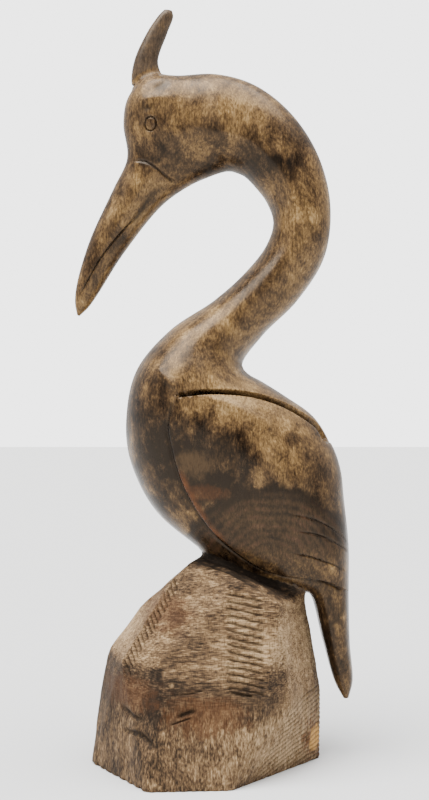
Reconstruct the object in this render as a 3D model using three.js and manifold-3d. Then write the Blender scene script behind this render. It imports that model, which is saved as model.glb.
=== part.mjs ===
// Carved wooden bird with a long bill, an arched neck and a tall crest, standing on the rough block
// that it was cut from. Bird and block are one piece of wood.
// Millimetres, +Z up. The bird faces -X, and the origin is the middle of the block's flat underside.

import * as THREE from "three";
import { ConvexGeometry } from "three/addons/geometries/ConvexGeometry.js";
import { mergeVertices } from "three/addons/utils/BufferGeometryUtils.js";
import Module from "manifold-3d";

const wasm = await Module();
wasm.setup();

// Block
const baseWidth = 152;
const baseDepth = 152;
const baseHeight = 138;

// Bird
const birdHeight = 362;      // from the top of the block to the tip of the crest
const billWidth = 26;
const headWidth = 46;
const neckWidth = 40;
const bodyWidth = 94;
const tailWidth = 48;
const crestThickness = 13;   // at the foot of the crest
const stubWidth = 46;        // the uncut wood between belly and block
const tailGap = 8.4;         // from the block's side to the middle of the tail

// Carving
const wingRelief = 1.6;      // how far the wing's front edge stands over the breast
const wingOverhang = 5.5;    // how far its lower edge stands over the rump
const slitWidth = 3.4;       // the open slit between wing and back
const slitDepth = 7;
const slitLip = 0.7;         // how deep the slit still is where it meets the ridge of the back
const lineWidth = 1.6;       // feather lines, mouth and the line round the root of the bill
const lineDepth = 1.3;
const eyeWidth = 8.4;
const eyeHeight = 9.8;
const eyeGroove = 1.3;
const eyeDepth = 1.1;

// Saw marks on the front of the block
const kerfPitch = 4.4;
const kerfWidth = 1.6;
const kerfDepth = 1.1;
const kerfLength = 27;
const kerfSlope = 0.30;      // fall for each millimetre to the right

// Fineness of the meshes
const sectionSides = 20;
const stepsPerStation = 3;
const curveSteps = 14;
const lineSteps = 8;
const eyeSides = 16;
const weld = 1e-4;

// The bird's proportions are hundredths of its height, x from its own axis and z from the block's top.
const unit = birdHeight / 100;

// Sections from bill to tail: the point on the back, the point on the front, the full width,
// where between back and front it is widest, and how square the back and the front half are.
// A section that something else refers to ends with its name.
const sections = [
  [-23.8, 43.8, -23.4, 43.6, 0.17 * billWidth, 0.50, 2.0, 2.0],   // tip of the bill
  [-24.2, 46.0, -21.8, 45.1, 0.32 * billWidth, 0.50, 1.9, 1.9],
  [-23.9, 49.4, -20.2, 47.3, 0.48 * billWidth, 0.50, 1.8, 1.8],
  [-21.5, 57.5, -15.4, 54.9, 0.74 * billWidth, 0.50, 1.8, 1.8],
  [-17.2, 66.9, -8.0, 64.1, 1.00 * billWidth, 0.50, 1.9, 1.7],    // root of the bill
  [-14.6, 72.7, -2.7, 67.8, 0.69 * headWidth, 0.50, 2.1, 1.6],
  [-15.3, 79.0, 0.5, 69.2, 0.84 * headWidth, 0.54, 2.2, 1.6],     // forehead
  [-14.5, 83.6, 2.1, 69.8, 0.95 * headWidth, 0.56, 2.4, 1.6],
  [-11.1, 87.6, 3.6, 70.2, 1.00 * headWidth, 0.58, 2.4, 1.6],     // behind the crest
  [-4.9, 87.8, 4.7, 70.2, 1.00 * headWidth, 0.62, 2.2, 1.6],      // crown
  [1.7, 88.1, 5.4, 70.0, 0.98 * headWidth, 0.64, 2.1, 1.6],
  [8.7, 86.2, 7.0, 69.3, 1.08 * neckWidth, 0.65, 2.0, 1.6],       // nape
  [15.2, 81.3, 9.0, 67.3, 1.03 * neckWidth, 0.64, 2.0, 1.6],
  [20.3, 73.8, 11.1, 64.5, 1.00 * neckWidth, 0.62, 2.0, 1.6],
  [22.8, 64.5, 12.3, 60.8, 0.98 * neckWidth, 0.61, 2.0, 1.6],     // farthest bend of the neck
  [21.8, 54.7, 11.0, 56.6, 0.98 * neckWidth, 0.60, 2.0, 1.6],
  [16.7, 46.4, 7.1, 51.6, 1.02 * neckWidth, 0.60, 2.0, 1.7],
  [10.4, 40.1, 1.4, 46.5, 0.49 * bodyWidth, 0.58, 2.0, 1.8, "neck root"],
  [6.6, 34.6, -6.7, 41.0, 0.69 * bodyWidth, 0.56, 2.0, 2.0],      // crease between neck and back
  [7.6, 33.1, -12.8, 33.7, 0.89 * bodyWidth, 0.54, 1.9, 2.2, "shoulder"],
  [10.2, 31.6, -14.7, 25.4, 0.97 * bodyWidth, 0.52, 1.9, 2.2],    // breast
  [14.5, 28.9, -14.1, 17.5, 1.00 * bodyWidth, 0.51, 2.0, 2.2],
  [19.7, 25.1, -9.5, 8.1, 0.97 * bodyWidth, 0.50, 2.0, 2.3, "above the belly"],
  [23.3, 19.5, -2.3, 1.8, 0.90 * bodyWidth, 0.50, 2.0, 2.5],      // belly
  [24.7, 15.3, 2.9, -2.0, 0.83 * bodyWidth, 0.50, 2.0, 2.6, "behind the belly"],
  [25.3, 9.9, 8.0, -4.6, 0.76 * bodyWidth, 0.50, 2.1, 2.8, "loin"],
  [26.1, 1.5, 16.5, -6.4, 0.63 * bodyWidth, 0.50, 2.3, 3.0, "rump"],
  [26.1, -6.8, 18.7, -7.0, 1.00 * tailWidth, 0.50, 2.6, 3.0, "tail root"],
  [26.3, -16.0, 21.4, -16.0, 0.70 * tailWidth, 0.50, 2.6, 2.8, "tail middle"],
  [26.9, -23.4, 23.6, -23.6, 0.37 * tailWidth, 0.50, 2.4, 2.4],
  [26.2, -26.5, 25.2, -26.6, 0.15 * tailWidth, 0.50, 2.0, 2.0],   // tip of the tail
];
const placeOf = (name) => sections.findIndex((row) => row.includes(name));

// The crest, a thin upright horn on the forehead, in sections from tip to foot.
const crestSections = [
  [-6.3, 99.8, -7.8, 100.0, 0.35 * crestThickness, 0.5, 2.0, 2.0],
  [-6.1, 98.8, -8.7, 99.1, 0.55 * crestThickness, 0.5, 2.2, 2.2],
  [-7.2, 95.7, -10.9, 95.9, 0.65 * crestThickness, 0.5, 2.2, 2.2],
  [-8.9, 90.6, -13.3, 90.6, 0.80 * crestThickness, 0.5, 2.2, 2.2],
  [-8.2, 88.0, -13.8, 86.4, 0.98 * crestThickness, 0.5, 2.2, 2.2],
  [-6.6, 84.6, -12.8, 83.0, 1.05 * crestThickness, 0.5, 2.2, 2.2],
];

// Carved lines in the side view, the same on both sides.
const wingFrontEdge = [
  [-5.5, 28.8], [-6.1, 25.6], [-6.6, 23.3], [-6.1, 20.3], [-5.0, 15.9], [-2.6, 10.3], [1.0, 5.0], [5.3, 1.1],
  [9.7, -1.8], [14.1, -3.3], [21.2, -4.3], [25.7, -6.3],
];
const wingTopEdge = [[21.9, 20.4], [20.2, 23.3], [16.0, 26.2], [10.8, 28.5], [3.8, 29.5], [-3.4, 29.5]];
const behindBack = 30;
const slitLine = [
  [-5.5, 28.9], [-0.1, 29.6], [7.7, 29.2], [13.5, 27.5], [18.2, 24.9], [20.2, 23.3], [21.8, 20.6],
];
const featherLines = [
  [[13.8, 8.4], [19.5, 6.9], [24.2, 3.9], [26.1, 1.4]],
  [[14.4, 5.3], [20.1, 4.2], [24.2, 2.0], [26.2, 0.4]],
  [[13.8, 1.4], [18.3, 0.4], [23.3, -1.5], [25.7, -3.2]],
];
const mouthLine = [[-12.5, 61.7], [-14.3, 60.0], [-19.0, 54.4], [-22.2, 49.2], [-23.4, 47.0]];
const billRootLine = [[-14.2, 71.8], [-11.2, 71.4], [-9.0, 70.1], [-6.8, 68.5]];
const eyeCentre = [-10.1, 78.0];

// The stub's ends and top on the bird, how far down the block it reaches, and how square it is
const stubFrom = -0.6;
const stubTo = 18.1;
const stubTop = 2;
const stubFoot = 0.65;
const stubSquareness = 3;

// Corners of the block as shares of its width, depth and height. The uppermost is under the belly.
const blockCorners = [
  // underside
  [-0.50, -0.05, 0], [-0.24, -0.50, 0], [0.10, -0.475, 0], [0.50, 0.04, 0],
  [0.44, 0.34, 0], [0.13, 0.50, 0], [-0.25, 0.46, 0], [-0.50, 0.20, 0],
  // middle
  [-0.445, -0.03, 0.43], [-0.16, -0.46, 0.40], [0.25, -0.43, 0.44], [0.35, -0.33, 0.35], [0.50, 0.01, 0.34],
  [0.41, 0.33, 0.36], [0.12, 0.47, 0.40], [-0.26, 0.42, 0.40], [-0.47, 0.12, 0.33],
  // shoulder
  [-0.425, 0.02, 0.54], [-0.35, -0.30, 0.545], [-0.19, -0.415, 0.56], [0.30, -0.36, 0.81],
  [0.30, 0.36, 0.69], [-0.16, 0.39, 0.65], [-0.34, 0.21, 0.62],
  // top
  [-0.29, 0.02, 0.74], [-0.14, -0.18, 0.90], [-0.07, -0.20, 0.98], [0.16, -0.33, 0.91], [0.43, -0.03, 0.79],
  [0.32, 0.30, 0.81], [0.05, 0.29, 0.95], [0, 0.02, 1],
];
const blockSide = 0.454;     // the block's side beside the middle of the tail

// The column of saw marks, as shares of the block: its left end, its top and its bottom
const kerfLeft = 0.085;
const kerfTop = 0.85;
const kerfBottom = 0.42;

const birdX = blockSide * baseWidth + tailGap - sections[placeOf("tail middle")][2] * unit;

const { lerp, smoothstep } = THREE.MathUtils;

function toSolid(geometry) {
  geometry.deleteAttribute("normal");
  geometry.deleteAttribute("uv");
  const merged = mergeVertices(geometry, weld);
  return new wasm.Manifold(new wasm.Mesh({
    numProp: 3,
    vertProperties: Float32Array.from(merged.attributes.position.array),
    triVerts: Uint32Array.from(merged.index.array),
  }));
}

function toGeometry(solid) {
  const { vertProperties, triVerts } = solid.getMesh();
  const geometry = new THREE.BufferGeometry();
  geometry.setAttribute("position", new THREE.BufferAttribute(Float32Array.from(vertProperties), 3));
  geometry.setIndex(new THREE.BufferAttribute(Uint32Array.from(triVerts), 1));
  geometry.computeVertexNormals();
  return geometry;
}

function smoothCurve(points, type) {
  return new THREE.CatmullRomCurve3(points.map((point) => new THREE.Vector3(...point)), false, type);
}

// One coordinate of a point on a squared circle, from the sine or cosine of its angle
function squared(value, squareness) {
  return Math.sign(value) * Math.abs(value) ** (2 / squareness);
}

// One section as a ring of points. off says how much is taken off its sides, back and front, and at a
// narrow tip no more than a part of what is there. turn shifts the corners round the section.
function ringPoints(back, front, size, squareness, off, turn) {
  const reach = back.distanceTo(front);
  const inward = front.clone().sub(back).divideScalar(reach);
  const from = back.clone().addScaledVector(inward, Math.min(off.back, 0.35 * reach));
  const to = front.clone().addScaledVector(inward, -Math.min(off.front, 0.35 * reach));
  const half = size.x / 2 - Math.min(off.sides, 0.35 * size.x);
  const widest = size.y;
  return Array.from({ length: sectionSides }, (none, side) => {
    const angle = (2 * Math.PI * (side + turn)) / sectionSides;
    const power = Math.cos(angle) > 0 ? squareness.x : squareness.y;
    const along = squared(Math.cos(angle), power);
    const share = widest - along * (along > 0 ? widest : 1 - widest);
    const point = from.clone().lerp(to, share);
    return [point.x, half * squared(Math.sin(angle), power), point.z];
  });
}

// Triangles of a closed skin over rings that all have the same number of points
function skinTriangles(rings) {
  const triangles = [];
  for (let ring = 0; ring < rings; ring += 1) {
    for (let side = 0; side < sectionSides; side += 1) {
      const a = ring * sectionSides + side;
      const b = ring * sectionSides + ((side + 1) % sectionSides);
      triangles.push(a, a + sectionSides, b, b, a + sectionSides, b + sectionSides);
    }
  }
  const last = rings * sectionSides;
  for (let side = 1; side < sectionSides - 1; side += 1) {
    triangles.push(0, side, side + 1);
    triangles.push(last, last + side + 1, last + side);
  }
  return triangles;
}

// Loft through a list of sections. trim(place) gives what is taken off at a place that counts the
// sections from the first.
function loft(rows, trim, turn = 0) {
  const backs = smoothCurve(rows.map((row) => [row[0], 0, row[1]]), "centripetal");
  const fronts = smoothCurve(rows.map((row) => [row[2], 0, row[3]]), "centripetal");
  const sizes = smoothCurve(rows.map((row) => [row[4], row[5], 0]), "catmullrom");
  const squarenesses = smoothCurve(rows.map((row) => [row[6], row[7], 0]), "catmullrom");
  const rings = (rows.length - 1) * stepsPerStation;
  const points = Array.from({ length: rings + 1 }, (none, ring) => {
    const share = ring / rings;
    const back = backs.getPoint(share).multiplyScalar(unit);
    const front = fronts.getPoint(share).multiplyScalar(unit);
    const off = trim(share * (rows.length - 1));
    return ringPoints(back, front, sizes.getPoint(share), squarenesses.getPoint(share), off, turn);
  });
  const geometry = new THREE.BufferGeometry();
  geometry.setAttribute("position", new THREE.Float32BufferAttribute(points.flat(2), 3));
  geometry.setIndex(skinTriangles(rings));
  return toSolid(geometry);
}

const evenTrim = (depth) => () => ({ sides: depth, back: depth, front: depth });

// What the body lacks under the wing, which grows from the shoulder to the rump and ends with the tail
function underWing(place) {
  const rising = (from, to) => smoothstep(place, placeOf(from), placeOf(to));
  const lift = lerp(wingRelief, wingOverhang, rising("shoulder", "rump")) * rising("neck root", "shoulder");
  const sides = lift * (1 - rising("rump", "tail middle"));
  const overBack = rising("above the belly", "behind the belly") * (1 - rising("loin", "tail root"));
  return { sides, back: 0.5 * lift * overBack, front: 0 };
}

// Prism across the whole bird from an outline in the side view
function sidePrism(outline) {
  const shape = new THREE.Shape(outline.map(([x, z]) => new THREE.Vector2(x * unit, z * unit)));
  const geometry = new THREE.ExtrudeGeometry(shape, { depth: 2 * bodyWidth, bevelEnabled: false });
  geometry.rotateX(Math.PI / 2);
  geometry.translate(0, bodyWidth, 0);
  return toSolid(geometry);
}

function curvePoints(line, steps) {
  const curve = smoothCurve(line.map(([x, z]) => [x, 0, z]), "centripetal");
  return curve.getPoints(steps).map((point) => [point.x, point.z]);
}

// Band of a given width along a line, pointed at both ends, across the whole bird
function band(line, width, steps) {
  const middle = curvePoints(line, steps);
  const pointed = 3;         // the band has its full width on all but a third of its length at each end
  const above = [];
  const below = [];
  for (let step = 1; step < steps; step += 1) {
    const [x, z] = middle[step];
    const along = new THREE.Vector2(...middle[step + 1]).sub(new THREE.Vector2(...middle[step - 1]));
    along.normalize();
    const fromEnd = Math.min(step, steps - step) / steps;
    const half = (width / 2 / unit) * Math.min(1, pointed * fromEnd);
    above.unshift([x - along.y * half, z + along.x * half]);
    below.push([x + along.y * half, z - along.x * half]);
  }
  return sidePrism([middle[0], ...below, middle[steps], ...above]);
}

function eyeRing() {
  const [x, z] = eyeCentre;
  const ellipse = (width, height) => Array.from({ length: eyeSides }, (none, side) => {
    const angle = (2 * Math.PI * side) / eyeSides;
    return [x + (width / 2 / unit) * Math.cos(angle), z + (height / 2 / unit) * Math.sin(angle)];
  });
  const outer = sidePrism(ellipse(eyeWidth, eyeHeight));
  return outer.subtract(sidePrism(ellipse(eyeWidth - 2 * eyeGroove, eyeHeight - 2 * eyeGroove)));
}

// Uncut wood under the belly, down into the block
function stub() {
  const middle = ((stubFrom + stubTo) / 2) * unit;
  const halfLength = ((stubTo - stubFrom) / 2) * unit;
  const outline = Array.from({ length: sectionSides }, (none, side) => {
    const angle = (2 * Math.PI * (side + 0.5)) / sectionSides;
    const x = middle + halfLength * squared(Math.cos(angle), stubSquareness);
    return new THREE.Vector2(x, (stubWidth / 2) * squared(Math.sin(angle), stubSquareness));
  });
  const foot = (stubFoot - 1) * baseHeight;
  const depth = stubTop * unit - foot;
  const geometry = new THREE.ExtrudeGeometry(new THREE.Shape(outline), { depth, bevelEnabled: false });
  geometry.translate(0, 0, foot);
  return toSolid(geometry);
}

// Both wings: what the full outline of the bird has beyond its body, within the wing's edges
function wings() {
  const front = curvePoints(wingFrontEdge, 2 * curveSteps);
  const top = curvePoints(wingTopEdge, curveSteps);
  const lowest = front[front.length - 1][1];
  const outline = [...front, [behindBack, lowest], [behindBack, top[0][1]], ...top];
  return loft(sections, evenTrim(0)).intersect(sidePrism(outline));
}

// Everything that is cut into the bird's skin
function carvedLines() {
  const slitFloor = loft(sections, () => ({ sides: slitDepth, back: slitLip, front: slitLip }));
  const slit = band(slitLine, slitWidth, curveSteps).subtract(slitFloor);
  const eyes = eyeRing().subtract(loft(sections, evenTrim(eyeDepth)));
  const lineFloor = loft(sections, evenTrim(lineDepth));
  const lines = [...featherLines, mouthLine, billRootLine].map(
    (line) => band(line, lineWidth, lineSteps).subtract(lineFloor),
  );
  return lines.reduce((joined, line) => joined.add(line), slit.add(eyes));
}

function bird() {
  const crest = loft(crestSections, evenTrim(0), 0.5);
  return loft(sections, underWing).add(wings()).add(crest).add(stub()).subtract(carvedLines());
}

// Wedge-shaped saw cut, deepest in its middle, from its left end on the front of the block
function kerf(x, z, floor) {
  const right = x + kerfLength;
  const fall = kerfSlope * kerfLength;
  const outline = [[x, z], [right, z - fall], [right, z - fall + kerfWidth]];
  const shape = new THREE.Shape(outline.map((corner) => new THREE.Vector2(...corner)));
  const geometry = new THREE.ExtrudeGeometry(shape, { depth: baseDepth, bevelEnabled: false });
  geometry.rotateX(Math.PI / 2);
  return toSolid(geometry).subtract(floor);
}

function block() {
  const corners = blockCorners.map(([x, y, z]) => [x * baseWidth, y * baseDepth, z * baseHeight]);
  const solid = toSolid(new ConvexGeometry(corners.map((corner) => new THREE.Vector3(...corner))));
  const floor = solid.scale([1, 1 - (2 * kerfDepth) / baseDepth, 1]);
  const count = Math.floor(((kerfTop - kerfBottom) * baseHeight) / kerfPitch);
  let marked = solid;
  for (let step = 0; step < count; step += 1) {
    marked = marked.subtract(kerf(kerfLeft * baseWidth, kerfTop * baseHeight - step * kerfPitch, floor));
  }
  return marked;
}

const carving = bird().translate([birdX, 0, baseHeight]).add(block());
const wood = new THREE.MeshStandardMaterial({ color: 0x6b4528, roughness: 0.38, metalness: 0 });
const mesh = new THREE.Mesh(toGeometry(carving), wood);
mesh.name = "carved_bird_and_block";

const part = new THREE.Group();
part.add(mesh);

export default part;
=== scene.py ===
"""A long-necked bird carved from one trunk, standing with its block: fine carving, wood and studio."""

import math

import bmesh
import bpy
import numpy as np
from bpy.props import FloatProperty, FloatVectorProperty, IntProperty, PointerProperty
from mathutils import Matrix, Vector
from mathutils.bvhtree import BVHTree
from mathutils.kdtree import KDTree


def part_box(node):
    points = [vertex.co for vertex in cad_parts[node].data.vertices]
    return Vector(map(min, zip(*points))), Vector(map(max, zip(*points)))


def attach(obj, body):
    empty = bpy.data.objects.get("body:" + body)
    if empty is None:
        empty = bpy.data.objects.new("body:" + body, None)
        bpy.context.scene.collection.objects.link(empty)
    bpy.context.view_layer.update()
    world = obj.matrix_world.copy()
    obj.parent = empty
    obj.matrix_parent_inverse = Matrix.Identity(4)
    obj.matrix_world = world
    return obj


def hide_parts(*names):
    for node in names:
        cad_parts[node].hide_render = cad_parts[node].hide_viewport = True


bl_info = {
    "name": "Carved Bird on a Block",
    "version": (1, 0, 0),
    "blender": (4, 5, 0),
    "location": "View3D > Sidebar > Carving",
    "description": "Builds a carved wooden bird with its rough block, its finish and a plain studio",
    "category": "Object",
}

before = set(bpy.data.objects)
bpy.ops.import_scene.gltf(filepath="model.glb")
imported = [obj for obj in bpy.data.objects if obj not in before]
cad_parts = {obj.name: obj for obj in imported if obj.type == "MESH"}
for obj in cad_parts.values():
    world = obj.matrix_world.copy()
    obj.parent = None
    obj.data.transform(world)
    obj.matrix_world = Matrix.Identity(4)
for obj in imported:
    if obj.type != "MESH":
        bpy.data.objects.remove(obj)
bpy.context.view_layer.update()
NODE = "carved_bird_and_block"
BODY = "root"
PIECE = "carved_bird_on_block"
NODE_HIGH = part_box(NODE)[1]
BLOCK_HEIGHT = 0.138

# Settings of the shapes, lengths in metres.
MANY = 10**7  # more than a mesh has points, so that one number holds both ends of an edge
WING_STEPS = 5  # points that each span of the wing's outline is cut into
TAIL_GAP = 0.0084  # from the block's side to the front of the tail's middle
ON_SURFACE = 2e-5  # a point nearer than this lies on a surface
SEAM_REACH = 0.008  # how far from a surface points are still measured
CREST_SEAM, STUB_SEAM, FOOT_SEAM = 0.006, 0.003, 0.0015  # how wide each seam is rounded
SEAM_PASSES = 24
SHARP_ANGLE = math.radians(48)  # edges with a wider bend are shaded as sharp
PATCH_REACH = 0.014  # how far from its plane a patch of saw marks still cuts
CREST_FACET, STUB_FACET = 0.0011, 0.0016
PATCH_FACET, CUT_FACET, FRONT_FACET, BACK_FACET, FOOT_FACET = 0.0009, 0.0011, 0.0025, 0.0032, 0.008

# Settings of the wood.
SAW_SHADE = 0.75  # how dark the painted shade in the saw marks is, as a share of the carved lines
FIGURE_BEND = 0.011  # how far the figure is bent, in metres
RING_SCALE = 0.314  # the ring texture's scale for rings one metre apart
ARCH = (0.0407, 0.0, 0.1285)  # the middle of the dark arch on the lower wing
CREST_GREY = (0.060, 0.045, 0.034)

# The bird from bill tip to tail tip. Each row is the back's point, the front's point, the full width
# as a share of the named part, where the section is widest, and how square its back and front are.
# Lengths are hundredths of the bird's height, x from its axis and z from the block's top.
BIRD_SECTIONS = (
    (-23.8, 43.8, -23.4, 43.6, "bill", 0.17, 0.50, 2.0, 2.0),
    (-24.2, 46.0, -21.8, 45.1, "bill", 0.32, 0.50, 1.9, 1.9),
    (-23.9, 49.4, -20.2, 47.3, "bill", 0.48, 0.50, 1.8, 1.8),
    (-21.5, 57.5, -15.4, 54.9, "bill", 0.74, 0.50, 1.8, 1.8),
    (-17.2, 66.9, -8.0, 64.1, "bill", 1.00, 0.50, 1.9, 1.7),
    (-14.6, 72.7, -2.7, 67.8, "head", 0.69, 0.50, 2.1, 1.6),
    (-15.3, 79.0, 0.5, 69.2, "head", 0.84, 0.54, 2.2, 1.6),
    (-14.5, 83.6, 2.1, 69.8, "head", 0.95, 0.56, 2.4, 1.6),
    (-11.1, 87.6, 3.6, 70.2, "head", 1.00, 0.58, 2.4, 1.6),
    (-4.9, 87.8, 4.7, 70.2, "head", 1.00, 0.62, 2.2, 1.6),
    (1.7, 88.1, 5.4, 70.0, "head", 0.98, 0.64, 2.1, 1.6),
    (8.7, 86.2, 7.0, 69.3, "neck", 1.08, 0.65, 2.0, 1.6),
    (15.2, 81.3, 9.0, 67.3, "neck", 1.03, 0.64, 2.0, 1.6),
    (20.3, 73.8, 11.1, 64.5, "neck", 1.00, 0.62, 2.0, 1.6),
    (22.8, 64.5, 12.3, 60.8, "neck", 0.98, 0.61, 2.0, 1.6),
    (21.8, 54.7, 11.0, 56.6, "neck", 0.98, 0.60, 2.0, 1.6),
    (16.7, 46.4, 7.1, 51.6, "neck", 1.02, 0.60, 2.0, 1.7),
    (10.4, 40.1, 1.4, 46.5, "body", 0.49, 0.58, 2.0, 1.8),
    (6.6, 34.6, -6.7, 41.0, "body", 0.69, 0.56, 2.0, 2.0),
    (7.6, 33.1, -12.8, 33.7, "body", 0.89, 0.54, 1.9, 2.2),
    (10.2, 31.6, -14.7, 25.4, "body", 0.97, 0.52, 1.9, 2.2),
    (14.5, 28.9, -14.1, 17.5, "body", 1.00, 0.51, 2.0, 2.2),
    (19.7, 25.1, -9.5, 8.1, "body", 0.97, 0.50, 2.0, 2.3),
    (23.3, 19.5, -2.3, 1.8, "body", 0.90, 0.50, 2.0, 2.5),
    (24.7, 15.3, 2.9, -2.0, "body", 0.83, 0.50, 2.0, 2.6),
    (25.3, 9.9, 8.0, -4.6, "body", 0.76, 0.50, 2.1, 2.8),
    (26.1, 1.5, 16.5, -6.4, "body", 0.63, 0.50, 2.3, 3.0),
    (26.1, -6.8, 18.7, -7.0, "tail", 1.00, 0.50, 2.6, 3.0),
    (26.3, -16.0, 21.4, -16.0, "tail", 0.70, 0.50, 2.6, 2.8),
    (26.9, -23.4, 23.6, -23.6, "tail", 0.37, 0.50, 2.4, 2.4),
    (26.2, -26.5, 25.2, -26.6, "tail", 0.15, 0.50, 2.0, 2.0),
)
SHOULDER, BELLY, RUMP, TAIL_MIDDLE = 19, 23, 26, 28
CREST_SECTIONS = (
    (-6.3, 99.8, -7.8, 100.0, "crest", 0.35, 0.5, 2.0, 2.0),
    (-6.1, 98.8, -8.7, 99.1, "crest", 0.55, 0.5, 2.2, 2.2),
    (-7.2, 95.7, -10.9, 95.9, "crest", 0.65, 0.5, 2.2, 2.2),
    (-8.9, 90.6, -13.3, 90.6, "crest", 0.80, 0.5, 2.2, 2.2),
    (-8.2, 88.0, -13.8, 86.4, "crest", 0.98, 0.5, 2.2, 2.2),
    (-6.6, 84.6, -12.8, 83.0, "crest", 1.05, 0.5, 2.2, 2.2),
)
STUB_SECTIONS = (
    (18.1, 2.0, -0.6, 2.0, "stub", 1.0, 0.5, 3.0, 3.0),
    (18.1, -13.3, -0.6, -13.3, "stub", 1.0, 0.5, 3.0, 3.0),
)

# The wing's edge runs down from the shoulder, back under the tail and up over the mantle.
WING_FRONT = (
    (-5.5, 28.8), (-6.1, 25.6), (-6.6, 23.3), (-6.1, 20.3), (-5.0, 15.9), (-2.6, 10.3),
    (1.0, 5.0), (5.3, 1.1), (9.7, -1.8), (14.1, -3.3), (21.2, -4.3), (25.7, -6.3),
)
WING_TOP = ((21.9, 20.4), (20.2, 23.3), (16.0, 26.2), (10.8, 28.5), (3.8, 29.5), (-3.4, 29.5))
BEHIND_BACK = 30.0

SLIT_LINE = (
    (-5.5, 28.9), (-0.1, 29.6), (7.7, 29.2), (13.5, 27.5), (18.2, 24.9), (20.2, 23.3), (21.8, 20.6),
)
FEATHER_LINES = (
    ((13.8, 8.4), (19.5, 6.9), (24.2, 3.9), (26.1, 1.4)),
    ((14.4, 5.3), (20.1, 4.2), (24.2, 2.0), (26.2, 0.4)),
    ((13.8, 1.4), (18.3, 0.4), (23.3, -1.5), (25.7, -3.2)),
)
MOUTH_LINE = ((-12.5, 61.7), (-14.3, 60.0), (-19.0, 54.4), (-22.2, 49.2), (-23.4, 47.0))
JAW_LINE = ((-6.8, 68.1), (-10.5, 64.6), (-12.5, 61.7), (-14.3, 60.0))
BILL_ROOT_LINE = ((-14.2, 71.8), (-11.2, 71.4), (-9.0, 70.1), (-6.8, 68.4), (-5.2, 67.6))
BROW_LINE = ((-12.6, 81.5), (-11.2, 82.3), (-10.0, 82.6), (-7.6, 82.6), (-4.6, 82.3))
BROW_HOLLOW = ((-12.2, 80.9), (-10.8, 80.9), (-9.2, 81.0))
CREST_HOLLOW = ((-10.0, 84.2), (-8.4, 84.9), (-6.6, 86.2))
CREST_NOTCH = ((-14.2, 85.6), (-12.9, 86.3))
WING_BEVEL = (
    (-3.5, 28.2), (0.4, 28.1), (3.0, 27.6), (6.0, 26.4), (8.2, 25.2), (11.0, 23.4), (13.5, 20.6),
)
COLLAR_LINE = ((-9.4, 34.6), (-7.6, 32.6), (-5.9, 30.9), (-5.4, 29.6))
EDGE_LINE_SHIFT = (0.30, 0.12)
EYE_CENTRE = (-10.1, 78.0)

# The block's corners, as shares of its width, depth and height, in four rings from the foot up.
BLOCK_CORNERS = (
    (-0.50, -0.05, 0), (-0.24, -0.50, 0), (0.10, -0.475, 0), (0.50, 0.04, 0),
    (0.44, 0.34, 0), (0.13, 0.50, 0), (-0.25, 0.46, 0), (-0.50, 0.20, 0),
    (-0.445, -0.03, 0.43), (-0.16, -0.46, 0.40), (0.25, -0.43, 0.44), (0.35, -0.33, 0.35),
    (0.50, 0.01, 0.34), (0.41, 0.33, 0.36), (0.12, 0.47, 0.40), (-0.26, 0.42, 0.40), (-0.47, 0.12, 0.33),
    (-0.425, 0.02, 0.54), (-0.35, -0.30, 0.545), (-0.19, -0.415, 0.56), (0.30, -0.36, 0.81),
    (0.30, 0.36, 0.69), (-0.16, 0.39, 0.65), (-0.34, 0.21, 0.62),
    (-0.29, 0.02, 0.74), (-0.14, -0.18, 0.90), (-0.07, -0.20, 0.98), (0.16, -0.33, 0.91),
    (0.43, -0.03, 0.79), (0.32, 0.30, 0.81), (0.05, 0.29, 0.95), (0.0, 0.02, 1.0),
)
# Splits and gouges on the block's front, in the bird's units. Each has its width and depth in metres.
BLOCK_CUTS = (
    (0.0016, 0.0012, (
        (-2.9, -0.6), (-0.5, -1.6), (1.6, -1.7), (4.5, -2.5), (6.7, -3.4), (9.1, -4.9), (12.4, -6.9),
    )),
    (0.0014, 0.0008, ((-5.8, -22.0), (-2.4, -21.8), (0.4, -21.2))),
    (0.0050, 0.0016, ((-15.5, -25.0), (-12.4, -26.3), (-10.2, -26.6))),
    (0.0050, 0.0018, ((-15.5, -29.4), (-11.0, -29.2), (-8.2, -31.3))),
    (0.0045, 0.0020, ((-5.1, -25.9), (-3.2, -25.1), (-1.3, -24.6))),
    (0.0018, 0.0010, ((-6.5, -27.2), (-4.1, -26.4), (-1.9, -25.7))),
    (0.0026, 0.0016, ((2.9, -21.5), (7.2, -22.3), (8.4, -22.5))),
    (0.0024, 0.0020, ((18.6, -30.3), (18.3, -32.2), (18.0, -34.0))),
    (0.0040, 0.0030, ((-17.0, -38.0), (-16.4, -39.4))),
)


def metres(name, description, default):
    """A length in metres."""
    return FloatProperty(name=name, description=description, default=default, unit="LENGTH")


def plain_number(name, description, default):
    """A plain number."""
    return FloatProperty(name=name, description=description, default=default)


def wood_colour(name, description, default):
    """A colour of the wood."""
    return FloatVectorProperty(
        name=name, description=description, default=default, subtype="COLOR", size=3
    )


class BirdSizes(bpy.types.PropertyGroup):
    """The widths of the carving, across the bird."""

    height: metres("Height", "From the block's top to the crest's tip", NODE_HIGH.z - BLOCK_HEIGHT)
    bill: metres("Bill Width", "Bill where it meets the head", 0.026)
    head: metres("Head Width", "Head across the eyes", 0.046)
    neck: metres("Neck Width", "Neck at its arch", 0.040)
    body: metres("Body Width", "Body across the wings", 0.094)
    tail: metres("Tail Width", "Tail below the wings", 0.048)
    crest: metres("Crest Thickness", "Crest near its foot", 0.013)
    stub: metres("Stub Width", "Wood left under the belly", 0.046)
    wing_relief: metres("Wing Relief", "How far the wing stands out at the shoulder", 0.0022)
    wing_overhang: metres("Wing Overhang", "How far the wing stands out at the rump", 0.0055)
    edge_width: metres("Wing Edge", "Width over which the wing's edge rises", 0.0011)


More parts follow.
